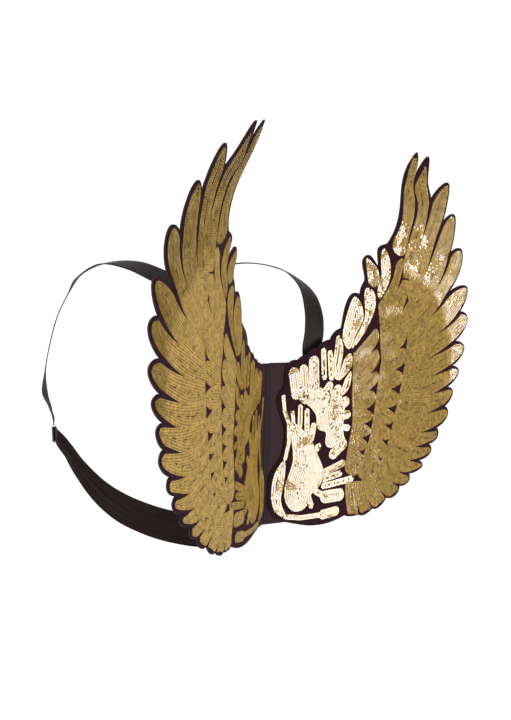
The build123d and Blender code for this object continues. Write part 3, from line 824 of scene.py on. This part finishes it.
def panel_pieces(word):
    """Cover one board with satin, turned in over its edges, and pad its back."""
    near, lining, back = (LAYER[name] * math.cos(SWEEP) for name in ("cover", "lining", "back"))
    size = (PANEL_SIZE[0] - FOLD_GAP, PANEL_SIZE[1])
    centre = ((PANEL_SIZE[0] + FOLD_GAP) / 2, PANEL_SIZE[1] / 2)
    middle = size[0] / 2 - SLIT
    across = [(middle * (1 - k / FRONT_RINGS), near) for k in range(FRONT_RINGS)]
    profile = across + rolled_edge(near, lining - CLOTH, COVER_ROLL) + [(TURN_IN, lining - CLOTH)]
    name = f"{word}_satin_cover"
    cover = ringed_piece(name, word, centre, size, profile, "satin", ripple=COVER_RIPPLE)
    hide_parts(f"{word}_panel_cover")
    crown = [(LINING_SHOULDER, back), (middle, back)]
    profile = [(middle, lining)] + rolled_edge(lining, back - LINING_DROP, LINING_ROLL) + crown
    name = f"{word}_lining_pad"
    pad = ringed_piece(name, word, centre, size, profile, "lining", closed=True)
    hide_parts(f"{word}_panel_lining")
    seam = panel_ring(word, centre, size, SEAM_INSET, back - LINING_DROP / 2)
    stitch_piece(f"{word}_lining_seam", f"{word}_half", [seam])


def panel_ring(word, centre, size, inset, depth):
    """Return a closed row of (place, normal) along a ring on the back of a half panel."""
    side = SIDES[word]
    ring = ring_points(size, COVER_CORNER, inset)
    row = []
    for u, v in ring + ring[:1]:
        row.append((panel_point(side, centre[0] + u, centre[1] + v, depth), backward(side)))
    return row


def patch_pieces(word, name, centre, over):
    """Sew a felt patch over a strap's end, given as a rectangle. It dips to the lining past that."""
    near = (LAYER["back"] + PATCH_STANDS) * math.cos(SWEEP)
    far = near + PATCH_THICKNESS
    middle = PATCH_SIZE[1] / 2 - SLIT
    across = [middle * (1 - k / PATCH_RINGS) for k in range(PATCH_RINGS)]
    profile = [(inset, near) for inset in across] + rolled_edge(near, far, PATCH_THICKNESS / 2)
    profile += [(inset, far) for inset in reversed(across)]
    patch = ringed_piece(
        f"{word}_{name}_felt", word, centre, PATCH_SIZE, profile, "felt", closed=True, over=over
    )
    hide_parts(f"{word}_{name}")
    side = SIDES[word]
    ring = ring_points(PATCH_SIZE, COVER_CORNER, SEAM_INSET)
    seam = []
    for u, v in ring + ring[:1]:
        place = panel_point(side, centre[0] + u, centre[1] + v, far - dip(u, v, over))
        seam.append((place, backward(side)))
    stitch_piece(f"{word}_{name}_seam", f"{word}_half", [seam])


def dip(u, v, over):
    """Return how far a patch dips beside the strap under it."""
    low_u, high_u, low_v, high_v = over
    outside = max(low_u - u, u - high_u, low_v - v, v - high_v, 0.0)
    return PATCH_DIP * min(1.0, outside / PATCH_SLOPE)


# ------------------------------------------------------------------ straps, bands and threads
def smooth_route(stations, side):
    """Return a strap's evenly spaced centres, directions across, normals and widths."""
    mirror = np.array([side, 1, 1])
    at = np.array([s[0] for s in stations], float) * MM * mirror
    across = np.array([Vector(s[1]).normalized() for s in stations]) * mirror
    width = np.array([s[2] for s in stations], float) * MM
    heading = np.zeros_like(at)
    heading[1:-1] = at[2:] - at[:-2]
    heading[:2] = at[1] - at[0]
    heading[-2:] = at[-1] - at[-2]
    heading /= np.linalg.norm(heading, axis=1)[:, None]
    rows = []
    for i, gap in enumerate(np.linalg.norm(np.diff(at, axis=0), axis=1)):
        count = max(2, round(gap / STRAP_STEP))
        for t in [k / count for k in range(count)]:
            ease = t * t * (3 - 2 * t)
            leave, arrive = t * (1 - t) ** 2 * gap, -t * t * (1 - t) * gap
            centre = at[i] * (1 - ease) + at[i + 1] * ease
            centre = centre + heading[i] * leave + heading[i + 1] * arrive
            way = across[i] * (1 - t) + across[i + 1] * t
            rows.append((centre, way, width[i] * (1 - t) + width[i + 1] * t))
    rows.append((at[-1], across[-1], width[-1]))
    centres, across, width = (np.array(column) for column in zip(*rows))
    for _ in range(STRAP_SMOOTHING):
        across[1:-1] = (across[:-2] + 2 * across[1:-1] + across[2:]) / 4
        width[1:-1] = (width[:-2] + 2 * width[1:-1] + width[2:]) / 4
    run = np.gradient(centres, axis=0)
    run /= np.linalg.norm(run, axis=1)[:, None]
    across -= run * (across * run).sum(axis=1)[:, None]
    across /= np.linalg.norm(across, axis=1)[:, None]
    return centres, across, np.cross(run, across), width


def run_lengths(places):
    """Return how far along a line each of its points is."""
    steps = np.linalg.norm(np.diff(places, axis=0), axis=1)
    return np.concatenate([[0], np.cumsum(steps)])


def section_places(width, thickness, columns):
    """Return the places across a strap and its half thickness there, thin at its rounded edges."""
    half, edge = width / 2, thickness / 2
    rounded = [(half, 0.0), (half - EDGE_BEND[0] * edge, EDGE_BEND[1] * edge)]
    inner = [(half - edge - (width - 2 * edge) * k / columns, edge) for k in range(columns + 1)]
    return rounded + inner + [(-place, height) for place, height in reversed(rounded)]


def ribbon_piece(
    name, route, thickness, material, body, columns=STRAP_COLUMNS, fold=None
):
    """Make a closed strap with rounded edges. fold tells how far a place stands off the flat."""
    centres, across, normals, widths = route
    runs = run_lengths(centres)
    verts, coords = [], []
    for centre, way, normal, width, run in zip(centres, across, normals, widths, runs):
        places = section_places(width, thickness, columns)
        ring = places + [(place, -height) for place, height in reversed(places[1:-1])]
        for place, height in ring:
            lift = fold(2 * place / width, run, runs[-1] - run, width) if fold else 0.0
            verts.append(centre + way * place + normal * (height + lift))
            coords.append((place / MM, run / MM))
    count = len(ring)
    faces = [tuple(range(count)), tuple(reversed(range(len(verts) - count, len(verts))))]
    faces += ring_faces(len(centres), count)
    piece = add_piece(name, verts, faces, material, body)
    solid = bmesh.new()
    solid.from_mesh(piece.data)
    bmesh.ops.recalc_face_normals(solid, faces=solid.faces)
    solid.to_mesh(piece.data)
    solid.free()
    layer = piece.data.uv_layers.new(name="strap")
    for loop in piece.data.loops:
        layer.data[loop.index].uv = coords[loop.vertex_index]
    return piece, runs[-1]


def gathers(share, run, left, width):
    """Return how far a gathered band stands off: lengthwise folds, deeper where it is narrow."""
    depth = GATHER_DEPTH * (BAND_WIDTH / width) * min(1.0, run / GATHER_FADE, left / GATHER_FADE)
    return depth * noise.noise(Vector((share * GATHERS, run / GATHER_LENGTH, 0)))


def edge_rows(route, thickness, inset):
    """Return rows of (place, normal) along both edges of a strap's two faces."""
    rows = []
    for edge in (-1, 1):
        for face in (-1, 1):
            row = []
            for centre, across, normal, width in zip(*route):
                place = centre + across * edge * (width / 2 - inset) + normal * face * thickness / 2
                row.append((Vector(place), Vector(normal) * face))
            rows.append(row)
    return rows


def stitch_template():
    """Return a short thread, bent down at its ends: its points as (along, across, up), and faces."""
    half, thick = STITCH_LENGTH / 2, STITCH_RADIUS
    bend = half * STITCH_BEND
    ends = [(-half, -thick, STITCH_TIP), (half, -thick, STITCH_TIP)]
    rings = [ends[0], (-bend, 0, 1.0), (bend, 0, 1.0), ends[1]]
    points = []
    for along, up, share in rings:
        for k in range(STITCH_SIDES):
            angle = 2 * math.pi * k / STITCH_SIDES
            across, rise = share * thick * math.cos(angle), share * thick * math.sin(angle)
            points.append((along, across, up + rise))
    last = len(points) - STITCH_SIDES
    faces = [tuple(reversed(range(STITCH_SIDES))), tuple(range(last, len(points)))]
    faces += [turned(face) for face in ring_faces(len(rings), STITCH_SIDES)]
    return np.array(points), faces


def stitch_piece(name, body, rows):
    """Sew short threads along rows of (place, normal)."""
    template, thread_faces = stitch_template()
    verts, faces = [], []
    for row in rows:
        places = np.array([place for place, _ in row])
        normals = np.array([normal for _, normal in row])
        run = run_lengths(places)
        for at in np.arange(STITCH_PITCH / 2, run[-1], STITCH_PITCH):
            centre, ahead, up = (
                np.array([np.interp(where, run, table[:, i]) for i in range(3)])
                for where, table in ((at, places), (at + STITCH_LENGTH / 4, places), (at, normals))
            )
            along = Vector(ahead - centre).normalized()
            across = Vector(up).cross(along).normalized()
            first = len(verts) * len(template)
            faces += [tuple(first + i for i in face) for face in thread_faces]
            verts.append(template @ np.array([along, across, along.cross(across)]) + centre)
    return add_piece(name, np.vstack(verts), faces, "thread", body)


def buckle_axes():
    """Return the right buckle's directions: across the strap, down the strap and outwards."""
    down = Vector(BUCKLE_DOWN).normalized()
    out = (Vector((1, 0, 0)) - down * down.x).normalized()
    return down.cross(out), down, out


def buckle_station(down_by, out_by, width):
    """Return a strap station in the right buckle's frame."""
    across, down, out = buckle_axes()
    centre = Vector(BUCKLE_CENTRE) + down * down_by + out * out_by
    return tuple(centre), tuple(across), width


def seat_station(along, z, across, width):
    """Return a strap station on the right lining."""
    place = panel_point(1, along * MM, z * MM, STRAP_DEPTH * math.cos(SWEEP)) / MM
    return tuple(place), across, width


def shoulder_strap(word):
    """Sew one shoulder strap of folded webbing."""
    seat = [seat_station(STRAP_ALONG, z, tuple(outward(1)), STRAP_WIDTH) for z in STRAP_SEAT]
    grip = [buckle_station(y, 0, STRAP_END_WIDTH) for y in WEB_STRAIGHT]
    route = smooth_route(seat + SHOULDER_TOP[word] + SHOULDER_FRONT[word] + grip, SIDES[word])
    name, body = f"{word}_shoulder_strap", f"{word}_half"
    strap, length = ribbon_piece(f"{name}_webbing", route, STRAP_THICKNESS, "webbing", body)
    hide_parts(name)
    clear = np.linalg.norm(route[0] - route[0][-1], axis=1) > SEAM_END
    sewn = [values[clear] for values in route]
    stitch_piece(f"{name}_seams", body, edge_rows(sewn, STRAP_THICKNESS, SEAM_INSET))


def side_band(word):
    """Sew one side band of gathered elastic, held at the buckle by its hem."""
    start = [buckle_station(y, HEM_BAR[1], HEM_BAND_WIDTH) for y in BAND_END]
    seat = [seat_station(x, BAND_HEIGHT, (0, 0, 1), BAND_WIDTH / MM) for x in BAND_SEAT]
    route = smooth_route(start + SIDE_BAND + seat, SIDES[word])
    half, buckle = f"{word}_half", f"{word}_buckle"
    name = f"{word}_side_band_elastic"
    band, length = ribbon_piece(
        name, route, STRAP_THICKNESS, "band", None, GATHER_COLUMNS, gathers
    )
    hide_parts(f"{word}_side_band")
    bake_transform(band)
    loop = [buckle_station(y, z, HEM_WIDTH) for y, z in hem_line()]
    route = smooth_route(loop, SIDES[word])
    hem, length = ribbon_piece(f"{word}_hem_fold", route, HEM_THICKNESS, "band", buckle)
    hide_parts(f"{word}_hem_loop")


def hem_line():
    """Return the hem's line round the buckle's lowest bar, as (down, outwards) in its frame."""
    bar_y, bar_z = HEM_BAR
    turn = [math.pi / 2 + math.pi * k / HEM_TURN_STEPS for k in range(HEM_TURN_STEPS + 1)]
    arc = [(bar_y + HEM_RADIUS * math.cos(t), bar_z + HEM_RADIUS * math.sin(t)) for t in turn]
    far = bar_y + HEM_LENGTH
    return [(far, bar_z + HEM_RADIUS)] + arc + [(far, bar_z - HEM_RADIUS)]


def spine_pieces():
    """Close the fold: a tape between two pairs of binding strips."""
    length = PANEL_SIZE[1] / MM - 2 * TAPE_ENDS
    heights = [TAPE_ENDS + length * k / BINDING_STATIONS for k in range(BINDING_STATIONS + 1)]
    route = smooth_route([((0, FOLD_Y, z), (1, 0, 0), TAPE_WIDTH) for z in heights], 1)
    tape, _ = ribbon_piece("spine_tape_cord", route, TAPE_WIDTH * MM, "binding", "spine")
    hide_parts("spine_tape")
    for word, side in SIDES.items():
        for name, (inner, outer) in BINDINGS.items():
            binding_piece(f"{word}_{name}", side, inner, outer, heights)


def binding_piece(name, side, inner, outer, heights):
    """Run one binding strip up the fold, from its (x, y) at the fold to its (x, y) on the half."""
    centre = [(a + b) / 2 for a, b in zip(inner, outer)]
    across = Vector((outer[0] - inner[0], outer[1] - inner[1], 0))
    stations = [((*centre, z), tuple(across), across.length) for z in heights]
    route = smooth_route(stations, side)
    strip, _ = ribbon_piece(name, route, BINDING_THICKNESS, "binding", None)
    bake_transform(strip)


# ------------------------------------------------------------------ camera, light, floor
def place_camera():
    """Stand the camera where the wings were seen from."""
    data = bpy.data.cameras.new("camera")
    data.lens = CAMERA_LENS
    camera = bpy.data.objects.new("camera", data)
    bpy.context.scene.collection.objects.link(camera)
    a, p, roll = CAMERA_AZIMUTH, CAMERA_PITCH, CAMERA_ROLL
    away = Vector((-math.sin(a) * math.cos(p), math.cos(a) * math.cos(p), -math.sin(p)))
    right = Vector((math.cos(a), math.sin(a), 0))
    up = right.cross(away)
    x = right * math.cos(roll) + up * math.sin(roll)
    y = up * math.cos(roll) - right * math.sin(roll)
    camera.matrix_world = Matrix.Translation(CAMERA_AT) @ Matrix((x, y, -away)).transposed().to_4x4()
    bpy.context.scene.camera = camera


def add_softbox(name, at, target, size, power):
    """Add a rectangular light that faces a point."""
    data = bpy.data.lights.new(name, "AREA")
    data.shape = "RECTANGLE"
    data.size, data.size_y = size
    data.energy = power
    lamp = bpy.data.objects.new(name, data)
    bpy.context.scene.collection.objects.link(lamp)
    lamp.location = at
    lamp.rotation_euler = (Vector(target) - Vector(at)).to_track_quat("-Z", "Y").to_euler()


def add_studio():
    """Add the pale floor, the soft light and the white surroundings."""
    scene = bpy.context.scene
    scene.view_settings.view_transform = "Standard"
    bpy.ops.mesh.primitive_plane_add(size=FLOOR_SIZE, location=(0, 0, FLOOR_Z))
    floor = bpy.context.object
    floor.name = "floor"
    material, _ = new_material("floor_paint", FLOOR_PAINT, 1.0)
    floor.data.materials.append(material)
    world = bpy.data.worlds.new("studio")
    world.use_nodes = True
    background = world.node_tree.nodes["Background"]
    background.inputs["Color"].default_value = (1, 1, 1, 1)
    background.inputs["Strength"].default_value = WORLD_STRENGTH
    scene.world = world
    target = Vector(SOFTBOX_TARGET)
    seen = (Vector(CAMERA_AT) - target).normalized()
    normal = -backward(1)
    mirrored = (normal * 2 * normal.dot(seen) - seen).normalized()
    at = target + mirrored * SOFTBOX_DISTANCE
    add_softbox("softbox", at, target, SOFTBOX_SIZE, SOFTBOX_POWER)


# ------------------------------------------------------------------ build
def cad_looks(word):
    """Give the hard pieces that stay as packed their materials, and soften the slider's edges."""
    for name, material in HARD_PIECES.items():
        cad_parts[f"{word}_{name}"].data.materials[0] = MATERIALS[material]
    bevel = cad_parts[f"{word}_slider"].modifiers.new("soft_edges", "BEVEL")
    bevel.width = SLIDER_BEVEL
    bevel.segments = BEVEL_SEGMENTS


def main():
    """Build the wings, the camera and the studio."""
    place_camera()
    for word in SIDES:
        for group in SEQUIN_GROUPS:
            sequin_piece(group, word)
    plan = felt_plan()
    for word in SIDES:
        felt_piece(word, "front_felt", "felt", plan)
        felt_piece(word, "core", "foam", plan)
        felt_piece(word, "back_felt", "felt_back", plan)
        panel_pieces(word)
        for name, (centre, over) in PATCHES.items():
            patch_pieces(word, name, centre, over)
        shoulder_strap(word)
        side_band(word)
        cad_looks(word)
    spine_pieces()
    add_studio()


main()
